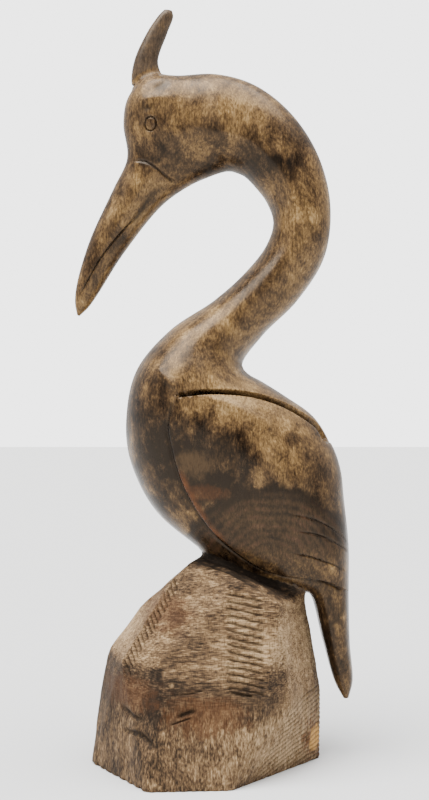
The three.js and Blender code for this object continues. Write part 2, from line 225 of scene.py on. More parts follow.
class BlockSizes(bpy.types.PropertyGroup):
    """The rough block that the bird stands on."""

    width: metres("Width", "Block along the bird", 0.152)
    depth: metres("Depth", "Block across the bird", 0.152)
    height: metres("Height", "Floor to the block's top", BLOCK_HEIGHT)
    side: plain_number("Side", "Where the bird's gap to the block is, share of width", 0.454)
    rounding: IntProperty(
        name="Edge Rounding", description="Smoothing passes on the block's edges", default=2
    )
    roughness: metres("Unevenness", "Height of the hewn surface's waves", 0.0007)
    saw_pitch: metres("Saw Pitch", "Distance between saw cuts", 0.0048)
    saw_depth: metres("Saw Depth", "Depth of a saw cut", 0.0013)
    seed: IntProperty(name="Seed", description="Seed of the uneven surface", default=4)


class LineSizes(bpy.types.PropertyGroup):
    """The lines that are cut into the bird."""

    slit_width: metres("Slit Width", "Slit along the wing's top", 0.0036)
    slit_depth: metres("Slit Depth", "Depth of the wing slit", 0.0060)
    line_width: metres("Line Width", "Feather and mouth lines", 0.0017)
    line_depth: metres("Line Depth", "Depth of those lines", 0.0010)
    eye_width: metres("Eye Width", "Eye ring along the head", 0.0076)
    eye_height: metres("Eye Height", "Eye ring's height", 0.0090)
    fine_edge: metres("Fine Facet", "Facet size at cut lines", 0.00082)
    wide_edge: metres("Wide Facet", "Facet size on plain areas", 0.0028)


class WoodFinish(bpy.types.PropertyGroup):
    """The colours of the wood."""

    # The dark heart colour is also laid into the cuts and saw marks as painted shade.
    black: wood_colour("Dark Heart and Cut Shade", "Darkest streaks", (0.0058, 0.0034, 0.0021))
    brown: wood_colour("Brown", "Main brown", (0.03, 0.0166, 0.008))
    tan: wood_colour("Tan", "Middle tone", (0.075, 0.043, 0.0195))
    gold: wood_colour("Gold", "Light figure", (0.174, 0.102, 0.04))
    pale: wood_colour("Pale Gold", "Lightest figure", (0.31, 0.198, 0.086))
    rust: wood_colour("Rust", "Reddish patches of the block", (0.105, 0.04, 0.0135))
    plum: wood_colour("Plum", "Purplish rings of the lower wing", (0.042, 0.019, 0.012))
    russet: wood_colour("Russet", "Orange patches along the wing's edge", (0.105, 0.034, 0.01))
    hewn: wood_colour("Hewn Wood", "Matte wood of the block", (0.198, 0.125, 0.063))
    hewn_dark: wood_colour("Hewn Dark", "Dark streaks of the block", (0.043, 0.0255, 0.014))
    sapwood: wood_colour("Sapwood", "Pale yellow outer wood", (0.5, 0.27, 0.075))
    gloss: FloatProperty(
        name="Roughness", description="Roughness of the polished bird", default=0.31, subtype="FACTOR"
    )


class StageSettings(bpy.types.PropertyGroup):
    """Camera, floor and light."""

    distance: metres("Camera Distance", "Camera to the bird's axis", 0.9)
    eye_level: metres("Camera Height", "Camera above the floor", 0.24)
    sideways: metres("Camera Shift", "Camera along the bird", 0.00533)
    lens: plain_number("Lens", "Focal length in millimetres", 60.75)
    sky: plain_number("Surroundings", "Brightness of the surroundings as seen", 3.6)
    fill: plain_number("Fill", "Light from behind and beside the bird", 1.15)
    near_fill: plain_number("Near Fill", "Light from the camera's side", 0.12)
    key: plain_number("Key Light", "Strength of the light above the bird's left", 6.6)
    top: plain_number("Top Light", "Strength of the light over the bird", 3.6)
    softness: FloatProperty(
        name="Softness", description="Angle that each of the two lights fills", default=math.radians(50),
        subtype="ANGLE",
    )


def squared(value, squareness):
    """A circle's sine or cosine, drawn towards a rounded square."""
    return np.sign(value) * np.abs(value) ** (2.0 / squareness)


def smoothstep(value, low, high):
    """0 below low, 1 above high and a smooth rise between."""
    share = np.clip((value - low) / (high - low), 0.0, 1.0)
    return share * share * (3.0 - 2.0 * share)


def curve_spans(points, centripetal=True):
    """Cubic coefficients of a Catmull-Rom curve through the points, one row for each span."""
    points = np.asarray(points, float)
    ends = np.vstack([2 * points[0] - points[1], points, 2 * points[-1] - points[-2]])
    before, start, stop, after = ends[:-3], ends[1:-2], ends[2:-1], ends[3:]
    if centripetal:
        gaps = np.sqrt(np.linalg.norm(np.diff(ends, axis=0), axis=1))[:, None]
        first, middle, last = gaps[:-2], gaps[1:-1], gaps[2:]
        leave = (start - before) / first - (stop - before) / (first + middle) + (stop - start) / middle
        arrive = (stop - start) / middle - (after - start) / (middle + last) + (after - stop) / last
        leave, arrive = leave * middle, arrive * middle
    else:
        leave, arrive = 0.5 * (stop - before), 0.5 * (after - start)
    third = 3 * (stop - start) - 2 * leave - arrive
    fourth = 2 * (start - stop) + leave + arrive
    return np.stack([start, leave, third, fourth], axis=1)


def on_curve(spans, places):
    """Points of a curve at places counted in spans from its start."""
    index = np.clip(places.astype(int), 0, len(spans) - 1)
    share = (places - index)[:, None]
    start, leave, third, fourth = (spans[index, term] for term in range(4))
    return start + share * (leave + share * (third + share * fourth))


def smooth_line(points, steps=8):
    """A curve through a few points, as a longer list of points."""
    spans = curve_spans(points)
    return on_curve(spans, np.linspace(0, len(spans), len(spans) * steps + 1))


class Loft:
    """A closed surface through sections that each lie between a back point and a front point."""

    def __init__(self, rows, sizes):
        unit = sizes.height / 100
        widths = [getattr(sizes, row[4]) * row[5] for row in rows]
        self.last = len(rows) - 1
        self.back = curve_spans([(row[0] * unit, row[1] * unit) for row in rows])
        self.front = curve_spans([(row[2] * unit, row[3] * unit) for row in rows])
        self.shape = curve_spans([(width, row[6]) for width, row in zip(widths, rows)], False)
        self.corners = curve_spans([(row[7], row[8]) for row in rows], False)

    def points(self, spots, trim_sides=0.0, trim_back=0.0):
        """Points of the surface. A spot is a place along it, an angle and a share of the radius."""
        place, angle, reach = spots.T
        back, front = on_curve(self.back, place), on_curve(self.front, place)
        width, widest = on_curve(self.shape, place).T
        back_corner, front_corner = on_curve(self.corners, place).T
        depth = np.linalg.norm(front - back, axis=1)
        back = back + (front - back) * (np.minimum(trim_back, 0.35 * depth) / depth)[:, None]
        half = width / 2 - np.minimum(trim_sides, 0.35 * width)
        power = np.where(np.cos(angle) > 0, back_corner, front_corner)
        along, across = squared(np.cos(angle), power), squared(np.sin(angle), power)
        share = widest - reach * along * np.where(along > 0, widest, 1 - widest)
        flat = back + (front - back) * share[:, None]
        return np.stack([flat[:, 0], half * across * reach, flat[:, 1]], axis=1)

    def net(self, around, steps, turn=0.0):
        """First coarse triangles over the loft, with a fan at each end."""
        rows = self.last * steps + 1
        places = np.linspace(0, self.last, rows)
        angles = (np.arange(around) + turn) * (2 * math.pi / around)
        spots = [(place, angle, 1.0) for place in places for angle in angles]
        spots += [(0.0, 0.0, 0.0), (float(self.last), 0.0, 0.0)]
        faces = []
        for side in range(around):
            beside = (side + 1) % around
            for row in range(rows - 1):
                corner, below = row * around, (row + 1) * around
                faces.append((corner + side, below + side, below + beside))
                faces.append((corner + side, below + beside, corner + beside))
            faces.append((rows * around, side, beside))
            faces.append((rows * around + 1, (rows - 1) * around + beside, (rows - 1) * around + side))
        return np.array(faces), np.array(spots)


def middle_spots(first, second):
    """Spots halfway between others, going the short way round and keeping clear of the fans' centres."""
    turn = (second[:, 1] - first[:, 1] + math.pi) % (2 * math.pi) - math.pi
    middle = 0.5 * (first + second)
    middle[:, 1] = first[:, 1] + 0.5 * turn
    middle[:, 1] = np.where(first[:, 2] == 0, second[:, 1], middle[:, 1])
    middle[:, 1] = np.where(second[:, 2] == 0, first[:, 1], middle[:, 1])
    return middle


def halve_points(first, second):
    """Points halfway between others."""
    return 0.5 * (first + second)


def refined(faces, spots, place, wanted, between, rounds=9):
    """Splits edges that are longer than wanted until none is, and gives the faces and their points."""
    points = place(spots)
    short_edges = np.zeros(0, int)
    for _ in range(rounds):
        ends = np.stack([faces, np.roll(faces, -1, axis=1)], axis=2)
        edges, which = np.unique(ends.min(axis=2) * MANY + ends.max(axis=2), return_inverse=True)
        first, second = edges // MANY, edges % MANY
        unsure = ~np.isin(edges, short_edges)
        start, stop = points[first[unsure]], points[second[unsure]]
        long = np.zeros(len(edges), bool)
        long[unsure] = np.linalg.norm(start - stop, axis=1) > 1.35 * wanted(0.5 * (start + stop))
        if not long.any():
            break
        short_edges = edges[~long]
        cuts = np.full(len(edges), -1)
        cuts[long] = len(spots) + np.arange(long.sum())
        added = between(spots[first[long]], spots[second[long]])
        spots, points = np.vstack([spots, added]), np.vstack([points, place(added)])
        faces = split_faces(faces, cuts[which.reshape(faces.shape)], points)
    return faces, points


def split_faces(faces, cuts, points):
    """Replaces each triangle by one to four, as its cut edges ask."""
    amount = (cuts >= 0).sum(axis=1)
    parts = [faces[amount == 0]]
    for turn in range(3):
        here = (amount == 1) & (cuts[:, turn] >= 0)
        a, b, c = (faces[here, (turn + step) % 3] for step in range(3))
        cut = cuts[here, turn]
        parts += [np.stack([a, cut, c], 1), np.stack([cut, b, c], 1)]
        here = (amount == 2) & (cuts[:, (turn + 2) % 3] < 0)
        a, b, c = (faces[here, (turn + step) % 3] for step in range(3))
        near, far = cuts[here, turn], cuts[here, (turn + 1) % 3]
        parts.append(np.stack([near, b, far], 1))
        one, other = points[a] - points[far], points[near] - points[c]
        short = (np.linalg.norm(one, axis=1) < np.linalg.norm(other, axis=1))[:, None]
        parts.append(np.where(short, np.stack([a, near, far], 1), np.stack([a, near, c], 1)))
        parts.append(np.where(short, np.stack([a, far, c], 1), np.stack([near, far, c], 1)))
    here = amount == 3
    a, b, c = faces[here].T
    ab, bc, ca = cuts[here].T
    parts += [np.stack(part, 1) for part in ((a, ab, ca), (ab, b, bc), (ca, bc, c), (ab, bc, ca))]
    return np.vstack(parts)


def distance_to(lines, flat):
    """Distance of each flat point to the nearest of the lines."""
    best = np.full(len(flat), 1e9)
    for line in lines:
        for start, stop in zip(line[:-1], line[1:]):
            reach = stop - start
            share = np.clip(((flat - start) @ reach) / max(reach @ reach, 1e-18), 0, 1)
            gap = flat - (start + share[:, None] * reach)
            best = np.minimum(best, np.einsum("ij,ij->i", gap, gap))
    return np.sqrt(best)


def inside(outline, flat):
    """Which flat points lie inside a closed outline."""
    result = np.zeros(len(flat), bool)
    for (x0, z0), (x1, z1) in zip(outline, np.roll(outline, -1, axis=0)):
        crosses = (z0 > flat[:, 1]) != (z1 > flat[:, 1])
        if z0 != z1:
            result ^= crosses & (flat[:, 0] < x0 + (flat[:, 1] - z0) * (x1 - x0) / (z1 - z0))
    return result


def wing_outline(unit):
    """The closed outline of the wing in the side view."""
    lower, upper = (smooth_line(line, WING_STEPS) * unit for line in (WING_FRONT, WING_TOP))
    behind = BEHIND_BACK * unit
    return np.vstack([lower, [(behind, lower[-1][1]), (behind, upper[0][1])], upper])


def wing_rim(points, bird, block):
    """How near each point is to the part of the wing's front edge where the wood is orange."""
    unit, flat = bird.height / 100, (points - bird_offset(bird, block))[:, [0, 2]]
    outline = wing_outline(unit)
    gap = distance_to([smooth_line(WING_FRONT, WING_STEPS) * unit], flat)
    height = flat[:, 1] / unit
    reach = smoothstep(height, 1.5, 6.0) * (1 - smoothstep(height, 14.0, 16.5))
    return (1 - smoothstep(gap, 0.0008, 0.0050)) * reach * inside(outline, flat)


def eye_ring(lines, unit, sides=28):
    """The eye's ring in the side view, closed on itself."""
    angles = np.arange(sides + 1) * (2 * math.pi / sides)
    across, up = 0.5 * lines.eye_width * np.cos(angles), 0.5 * lines.eye_height * np.sin(angles)
    return np.stack([EYE_CENTRE[0] * unit + across, EYE_CENTRE[1] * unit + up], axis=1)


def placed(name, data):
    """A new object in the scene with this data."""
    piece = bpy.data.objects.new(name, data)
    bpy.context.scene.collection.objects.link(piece)
    return piece


def discard(pieces):
    """Removes mesh objects together with their meshes."""
    for piece in pieces:
        mesh = piece.data
        bpy.data.objects.remove(piece)
        bpy.data.meshes.remove(mesh)


def plain_mesh(name, faces, points):
    """A mesh object of triangles that point outwards."""
    a, b, c = (points[faces[:, corner]] for corner in range(3))
    if np.einsum("ij,ij->", a, np.cross(b, c)) < 0:
        faces = faces[:, ::-1]
    mesh = bpy.data.meshes.new(name)
    mesh.from_pydata(points.tolist(), [], faces.tolist())
    return placed(name, mesh)


def bird_offset(bird, block):
    """Where the bird's axis and the block's top are, in the part's frame."""
    tail = TAIL_GAP - BIRD_SECTIONS[TAIL_MIDDLE][2] * bird.height / 100
    return np.array([block.side * block.width + tail, 0.0, block.height])


def shape_bird(bird, block, lines):
    """The bird's body with its raised wings, finer along every carved line."""
    unit = bird.height / 100
    loft = Loft(BIRD_SECTIONS, bird)
    outline = wing_outline(unit)
    edge = [np.vstack([outline, outline[:1]])]
    carved = (SLIT_LINE, MOUTH_LINE, BILL_ROOT_LINE) + FEATHER_LINES
    carved = [smooth_line(line, 4) * unit for line in carved]
    carved += [eye_ring(lines, unit), outline[: WING_STEPS * (len(WING_FRONT) - 1) + 1]]

    def place(spots):
        where = spots[:, 0]
        growth = (bird.wing_overhang - bird.wing_relief) * smoothstep(where, SHOULDER, RUMP)
        lift = (bird.wing_relief + growth) * smoothstep(where, SHOULDER - 2, SHOULDER)
        sides = lift * (1 - smoothstep(where, RUMP, TAIL_MIDDLE))
        back = 0.5 * lift * smoothstep(where, BELLY - 1, BELLY + 1)
        back = back * (1 - smoothstep(where, RUMP - 1, RUMP + 1))
        outer, under = loft.points(spots), loft.points(spots, sides, back)
        winged = (where > SHOULDER - 2) & (where < TAIL_MIDDLE)
        flat = outer[winged][:, [0, 2]]
        signed = distance_to(edge, flat) * np.where(inside(outline, flat), 1, -1)
        share = smoothstep(signed, -bird.edge_width / 2, bird.edge_width / 2)[:, None]
        under[winged] += share * (outer[winged] - under[winged])
        return under

    def wanted(points):
        near = distance_to(carved, points[:, [0, 2]])
        return np.clip(lines.fine_edge + 0.42 * (near - 0.0018), lines.fine_edge, lines.wide_edge)

    faces, points = refined(*loft.net(24, 2), place, wanted, middle_spots)
    return plain_mesh("bird_body", faces, points + bird_offset(bird, block))


def shape_plain_loft(name, rows, bird, block, facet, around):
    """A simple closed loft, such as the crest or the stub under the belly."""
    loft = Loft(rows, bird)
    faces, points = refined(
        *loft.net(around, 2, 0.5), loft.points, lambda points: np.full(len(points), facet), middle_spots
    )
    return plain_mesh(name, faces, points + bird_offset(bird, block))


def shape_block(bird, block):
    """The rough block, as the hull of its corners with worn edges."""
    hull = bmesh.new()
    size = np.array([block.width, block.depth, block.height])
    for corner in BLOCK_CORNERS:
        hull.verts.new(np.array(corner) * size)
    bmesh.ops.convex_hull(hull, input=hull.verts)
    loose = [vert for vert in hull.verts if not vert.link_faces]
    bmesh.ops.delete(hull, geom=loose, context="VERTS")
    bmesh.ops.triangulate(hull, faces=hull.faces)
    hull.verts.index_update()
    points = np.array([vert.co[:] for vert in hull.verts])
    faces = np.array([[vert.index for vert in face.verts] for face in hull.faces])
    hull.free()
    cuts = [smooth_line(cut[2], 3) * (bird.height / 100) for cut in BLOCK_CUTS]
    cuts = [cut + bird_offset(bird, block)[[0, 2]] for cut in cuts]

    def wanted(middles):
        near = distance_to(cuts, middles[:, [0, 2]])
        front = np.clip(CUT_FACET + 0.35 * (near - 0.002), CUT_FACET, FRONT_FACET)
        plain = np.where(middles[:, 1] < 0, front, BACK_FACET)
        facet = np.where(near_patches(middles), PATCH_FACET, plain)
        return np.where(middles[:, 2] < 1e-5, FOOT_FACET, facet)

    faces, points = refined(faces, points, lambda spots: spots, wanted, halve_points)
    flat_foot = points[:, 2] < 1e-6
    points = relaxed(faces, points, np.ones(len(points)), block.rounding)
    points[flat_foot, 2] = 0.0
    return plain_mesh("block", faces, points)


def relaxed(faces, points, weight, passes):
    """Moves each point towards the middle of its neighbours, by its weight."""
    ends = np.vstack([faces[:, [0, 1]], faces[:, [1, 2]], faces[:, [2, 0]]])
    ends = np.vstack([ends, ends[:, ::-1]])
    neighbours = np.bincount(ends[:, 0], minlength=len(points)).clip(1)
    for _ in range(passes):
        sums = [np.bincount(ends[:, 0], points[ends[:, 1], axis], len(points)) for axis in range(3)]
        middle = np.stack([total / neighbours for total in sums], 1)
        points = points + 0.5 * weight[:, None] * (middle - points)
    return points


# Patches of saw marks in metres: centre, outward direction, direction across the marks, half sizes
# across and along the marks, how the patch leans, how the marks bend, and pitch and depth as shares.
SAW_PATCHES = (
    (
        (0.0245, -0.0615, 0.0880), (0.00, -0.97, 0.24), (0.21, 0.0, 1.0),
        0.0315, 0.0128, 0.24, 3.0, 0.88, 0.80,
    ),
    (
        (0.0724, -0.0120, 0.0240), (0.70, -0.65, -0.20), (-0.22, 0.0, 1.0),
        0.0290, 0.0600, -0.74, 2.4, 0.64, 0.34,
    ),
    (
        (-0.0350, -0.0405, 0.0970), (-0.52, -0.66, 0.54), (0.785, -0.123, 0.605),
        0.0300, 0.0072, 0.60, 0.0, 0.72, 1.15,
    ),
)


def near_patches(points):
    """Which points are on a patch of saw marks."""
    result = np.zeros(len(points), bool)
    for centre, facing, across, half_across, half_along, lean, _, _, _ in SAW_PATCHES:
        up = np.array(across) / np.linalg.norm(across)
        side = np.cross(up, facing)
        side = side / np.linalg.norm(side)
        gap = points - np.array(centre)
        height = gap @ up
        close = np.abs(gap @ np.array(facing)) < PATCH_REACH
        within = np.abs(gap @ side + lean * height) < half_along
        result |= close & within & (np.abs(height) < half_across)
    return result


def joined(pieces):
    """One closed mesh of all the pieces, with the first one's name kept."""
    whole = pieces[0]
    for other in pieces[1:]:
        union = whole.modifiers.new("Union", "BOOLEAN")
        union.operation = "UNION"
        union.solver = "MANIFOLD"
        union.object = other
    settle(whole)
    discard(pieces[1:])
    return whole


def settle(piece):
    """Turns a piece's modifiers into a plain mesh and removes them."""
    graph = bpy.context.evaluated_depsgraph_get()
    mesh = bpy.data.meshes.new_from_object(piece.evaluated_get(graph), depsgraph=graph)
    old = piece.data
    piece.modifiers.clear()
    piece.data = mesh
    bpy.data.meshes.remove(old)


def mesh_arrays(mesh):
    """The triangles and points of a mesh."""
    mesh.calc_loop_triangles()
    faces = np.empty(len(mesh.loop_triangles) * 3, np.int32)
    mesh.loop_triangles.foreach_get("vertices", faces)
    points = np.empty(len(mesh.vertices) * 3, np.float32)
    mesh.vertices.foreach_get("co", points)
    return faces.reshape(-1, 3).astype(np.int64), points.reshape(-1, 3).astype(float)


def surface_tree(piece):
    """A search tree over a piece's surface."""
    faces, points = mesh_arrays(piece.data)
    return BVHTree.FromPolygons(points.tolist(), faces.tolist())


def gap_to(tree, points, reach):
    """Distance from each point to a surface, up to a reach."""
    gaps = np.full(len(points), reach)
    for index, point in enumerate(points.tolist()):
        found = tree.find_nearest(point, reach)
        if found[3] is not None:
            gaps[index] = found[3]
    return gaps


def store(mesh, name, values):
    """Keeps one number for each vertex on the mesh."""
    layer = mesh.attributes.new(name, "FLOAT", "POINT")
    layer.data.foreach_set("value", np.asarray(values, np.float32))


def soften_seams(whole, seams):
    """Rounds the inner corners where two surfaces meet. Each seam has two gaps and a radius."""
    faces, points = mesh_arrays(whole.data)
    weight = np.zeros(len(points))
    for first, second, radius in seams:
        on_seam = np.flatnonzero((first < ON_SURFACE) & (second < ON_SURFACE))
        finder = KDTree(len(on_seam))
        for number, index in enumerate(on_seam):
            finder.insert(points[index], number)
        finder.balance()
        close = np.flatnonzero((first < radius) & (second < radius))
        gaps = np.array([finder.find(points[index])[2] for index in close])
        weight[close] = np.maximum(weight[close], 1 - smoothstep(gaps, 0.3 * radius, radius))
    points = relaxed(faces, points, weight, SEAM_PASSES)
    whole.data.vertices.foreach_set("co", points.astype(np.float32).ravel())
    whole.data.update()


class Tree:
    """A node tree, with short ways to add nodes. Each gives the output that the next one needs."""

    def __init__(self, data):
        self.data = data
        self.links = data.links

    def add(self, kind, inputs=None, **settings):
        """Adds a node. Each input is a value to set or an output to link, by its name or number."""
        node = self.data.nodes.new(kind)
        for name, value in settings.items():
            setattr(node, name, value)
        for key, value in (inputs or {}).items():
            if isinstance(value, bpy.types.NodeSocket):
                self.links.new(value, node.inputs[key])
            else:
                node.inputs[key].default_value = value
        return node

    def calc(self, operation, first, second=0.0, third=0.0, clamp=False):
        """One step of arithmetic."""
        inputs = {0: first, 1: second, 2: third}
        return self.add("ShaderNodeMath", inputs, operation=operation, use_clamp=clamp).outputs[0]

    def times(self, first, *others):
        """All the numbers multiplied."""
        for other in others:
            first = self.calc("MULTIPLY", first, other)
        return first

    def plus(self, first, second):
        """The sum of two numbers."""
        return self.calc("ADD", first, second)

    def minus(self, first, second):
        """The difference of two numbers."""
        return self.calc("SUBTRACT", first, second)

    def centred(self, value, weight):
        """A number between 0 and 1 moved to lie around 0, times a weight."""
        return self.times(self.minus(value, 0.5), weight)

    def vector(self, operation, first, second=(0.0, 0.0, 0.0)):
        """One step of vector arithmetic, with the vector or the number that it gives."""
        node = self.add("ShaderNodeVectorMath", {0: first, 1: second}, operation=operation)
        return node.outputs["Value" if operation in ("DOT_PRODUCT", "LENGTH") else "Vector"]

    def stretched(self, vector, *shares):
        """A vector with each of its parts multiplied by its share."""
        return self.vector("MULTIPLY", vector, shares)

    def scaled(self, vector, factor):
        """A vector times a number."""
        node = self.add("ShaderNodeVectorMath", {0: vector, "Scale": factor}, operation="SCALE")
        return node.outputs["Vector"]

    def axes(self, vector):
        """The three numbers of a vector."""
        return self.add("ShaderNodeSeparateXYZ", {0: vector}).outputs

    def rise(self, value, low, high, bottom=0.0, top=1.0):
        """A smooth rise from bottom to top while value goes from low to high."""
        inputs = {0: value, 1: low, 2: high, 3: bottom, 4: top}
        return self.add("ShaderNodeMapRange", inputs, interpolation_type="SMOOTHSTEP").outputs[0]

    def noise(self, vector, scale, detail=2.0, roughness=0.5, distortion=0.0):
        """Soft noise between 0 and 1."""
        inputs = {"Vector": vector, "Scale": scale, "Detail": detail, "Roughness": roughness}
        return self.add("ShaderNodeTexNoise", {**inputs, "Distortion": distortion}).outputs[0]

    def named(self, name):
        """A number kept on the mesh's vertices, in a geometry tree."""
        node = self.add("GeometryNodeInputNamedAttribute", {"Name": name}, data_type="FLOAT")
        return node.outputs["Attribute"]

    def finish(self, geometry, strength, depth, material, shade=1.0):
        """Sinks the surface by depth times strength, keeps the strength of cuts for their painted shade,
        and ends the tree.
        """
        cut = self.times(strength, shade, self.calc("GREATER_THAN", depth, 0.0))
        groove = self.calc("MAXIMUM", self.named("groove"), cut)
        inputs = {"Geometry": geometry, "Name": "groove", "Value": groove}
        kept = self.add("GeometryNodeStoreNamedAttribute", inputs, data_type="FLOAT", domain="POINT")
        normal = self.add("GeometryNodeInputNormal").outputs[0]
        sink = self.scaled(normal, self.times(strength, depth, -1.0))
        moved = self.add("GeometryNodeSetPosition", {"Geometry": kept.outputs[0], "Offset": sink})
        real = self.add("GeometryNodeRealizeInstances", {0: moved.outputs[0]})
        inputs = {"Geometry": real.outputs[0], "Material": material}
        finished = self.add("GeometryNodeSetMaterial", inputs).outputs[0]
        self.add("NodeGroupOutput", {0: finished})

    def mix(self, factor, first, second, blend="MIX"):
        """Two colours mixed by a factor. A colour without its alpha gets one."""
        first, second = (opaque(item) for item in (first, second))
        inputs = {0: factor, 6: first, 7: second}
        return self.add("ShaderNodeMix", inputs, data_type="RGBA", blend_type=blend).outputs[2]

    def mix_numbers(self, factor, first, second):
        """Two numbers mixed by a factor."""
        inputs = {0: factor, 2: first, 3: second}
        return self.add("ShaderNodeMix", inputs, data_type="FLOAT").outputs[0]

    def ramp(self, value, stops):
        """Colours along a value, by their places."""
        node = self.add("ShaderNodeValToRGB", {0: value})
        elements = node.color_ramp.elements
        for place, _ in stops[2:]:
            elements.new(place)
        for element, (place, colour) in zip(elements, stops):
            element.position = place
            element.color = opaque(colour)
        return node.outputs[0]

    def spot(self, place, centre, radii, warp=None, soft=0.35):
        """A soft-edged patch around a point, 1 in its middle and 0 outside its radii."""
        gap = self.vector("SUBTRACT", place, centre)
        gap = self.stretched(gap, *(1.0 / radius for radius in radii))
        reach = self.vector("LENGTH", gap)
        if warp is not None:
            reach = self.plus(reach, warp)
        return self.rise(reach, 1.0 - soft, 1.0 + soft, 1.0, 0.0)

    def rings(self, place, centre, tilt, pitch, wander):
        """Growth rings around an axis, as a number between 0 and 1."""
        gap = self.vector("SUBTRACT", place, centre)
        mapped = self.add("ShaderNodeMapping", {"Vector": gap, "Rotation": tilt}).outputs[0]
        inputs = {
            "Vector": mapped, "Scale": RING_SCALE / pitch, "Distortion": wander,
            "Detail": 3.0, "Detail Scale": 0.55, "Detail Roughness": 0.55,
        }
        settings = {"wave_type": "RINGS", "rings_direction": "Z", "wave_profile": "SIN"}
        return self.add("ShaderNodeTexWave", inputs, **settings).outputs[1]

    def tone(self, parts, middle):
        """Noises around one half, each with its weight, added up around a middle tone."""
        total = middle - 0.5 * sum(weight for _, weight in parts)
        for value, weight in parts:
            total = self.calc("MULTIPLY_ADD", value, weight, total)
        return total

    def toned(self, tone, place, warp, soft, rows):
        """A tone made lighter or darker in soft patches: each has its centre, radii and change."""
        for centre, radii, change in rows:
            tone = self.plus(tone, self.times(self.spot(place, centre, radii, warp, soft), change))
        return tone

    def painted(self, colour, place, warp, patches):
        """Soft patches laid over a colour: each has its centre, radii, own colour and strength."""
        for centre, radii, patch, strength in patches:
            mask = self.times(self.spot(place, centre, radii, warp, 0.45), strength)
            colour = self.mix(mask, colour, patch)
        return colour


def opaque(colour):
    """A colour with its alpha; a node's output stays as it is."""
    return colour if isinstance(colour, bpy.types.NodeSocket) else (*colour, 1.0)[:4]


def geometry_tree(name, inputs):
    """A geometry tree with its inputs, and what comes in through them."""
    data = bpy.data.node_groups.new(name, "GeometryNodeTree")
    data.interface.new_socket("Geometry", in_out="OUTPUT", socket_type="NodeSocketGeometry")
    for label, kind in (("Geometry", "Geometry"), *inputs):
        data.interface.new_socket(label, in_out="INPUT", socket_type="NodeSocket" + kind)
    tree = Tree(data)
    return tree, tree.add("NodeGroupInput").outputs


def line_tree():
    """The tree that cuts or raises the surface along a flat path seen from the side."""
    tree, given = geometry_tree("Carved lines", (
        ("Path", "Object"), ("Width", "Float"), ("Depth", "Float"), ("Flat Floor", "Float"),
        ("Front Only", "Float"), ("On Block", "Float"), ("Wood", "Material"),
    ))
    place = tree.add("GeometryNodeInputPosition").outputs[0]
    axes = tree.axes(place)
    flat = tree.add("ShaderNodeCombineXYZ", {0: axes[0], 1: 0.0, 2: axes[2]}).outputs[0]
    path = tree.add("GeometryNodeObjectInfo", {"Object": given["Path"]}).outputs["Geometry"]
    inputs = {"Geometry": path, "Sample Position": flat}
    near = tree.add("GeometryNodeProximity", inputs, target_element="EDGES").outputs["Distance"]
    index = tree.add("GeometryNodeSampleNearest", inputs, domain="POINT").outputs[0]
    inputs = {"Geometry": path, "Value": tree.named("fade"), "Index": index}
    fade = tree.add("GeometryNodeSampleIndex", inputs, data_type="FLOAT", domain="POINT").outputs[0]
    half = tree.times(given["Width"], 0.5)
    share = tree.calc("DIVIDE", near, tree.times(half, tree.rise(fade, 0.0, 0.6, 0.35)))
    profile = tree.rise(share, given["Flat Floor"], 1.0, 1.0, 0.0)
    behind = tree.times(axes[1], tree.times(given["Front Only"], -1.0))
    front = tree.calc("GREATER_THAN", behind, -1e-6)
    wrong = tree.calc("ABSOLUTE", tree.minus(tree.named("sawn"), given["On Block"]))
    ours = tree.calc("SUBTRACT", 1.0, wrong, clamp=True)
    strength = tree.times(tree.times(profile, fade), tree.times(front, ours))
    tree.finish(given["Geometry"], strength, given["Depth"], given["Wood"])
    return tree.data


def saw_tree():
    """The tree that cuts a patch of even saw marks into the block."""
    tree, given = geometry_tree("Saw marks", (
        ("Centre", "Vector"), ("Facing", "Vector"), ("Across", "Vector"), ("Half Across", "Float"),
        ("Half Along", "Float"), ("Lean", "Float"), ("Bend", "Float"), ("Pitch", "Float"),
        ("Depth", "Float"), ("Seed", "Float"), ("Wood", "Material"),
    ))
    place = tree.add("GeometryNodeInputPosition").outputs[0]
    gap = tree.vector("SUBTRACT", place, given["Centre"])
    up = tree.vector("NORMALIZE", given["Across"])
    side = tree.vector("NORMALIZE", tree.vector("CROSS_PRODUCT", up, given["Facing"]))
    wander = tree.noise(tree.vector("ADD", place, given["Seed"]), 45.0)
    wander = tree.centred(wander, given["Pitch"])
    along = tree.vector("DOT_PRODUCT", gap, side)
    straight = tree.plus(tree.vector("DOT_PRODUCT", gap, up), wander)
    height = tree.plus(straight, tree.times(along, along, given["Bend"]))
    turn = tree.calc("FRACT", tree.calc("DIVIDE", height, given["Pitch"]))
    ridge = tree.rise(tree.calc("ABSOLUTE", tree.minus(turn, 0.5)), 0.02, 0.30, 1.0, 0.0)
    tall = tree.calc("DIVIDE", tree.calc("ABSOLUTE", straight), given["Half Across"])
    leaning = tree.calc("MULTIPLY_ADD", straight, given["Lean"], along)
    broad = tree.calc("DIVIDE", tree.calc("ABSOLUTE", leaning), given["Half Along"])
    close = tree.calc("ABSOLUTE", tree.vector("DOT_PRODUCT", gap, given["Facing"]))
    mask = tree.times(tree.rise(tall, 0.9, 1.0, 1.0, 0.0), tree.rise(broad, 0.8, 1.0, 1.0, 0.0))
    mask = tree.times(mask, tree.rise(close, 0.009, PATCH_REACH, 1.0, 0.0))
    strength = tree.times(ridge, mask, tree.named("sawn"))
    tree.finish(given["Geometry"], strength, given["Depth"], given["Wood"], SAW_SHADE)
    return tree.data


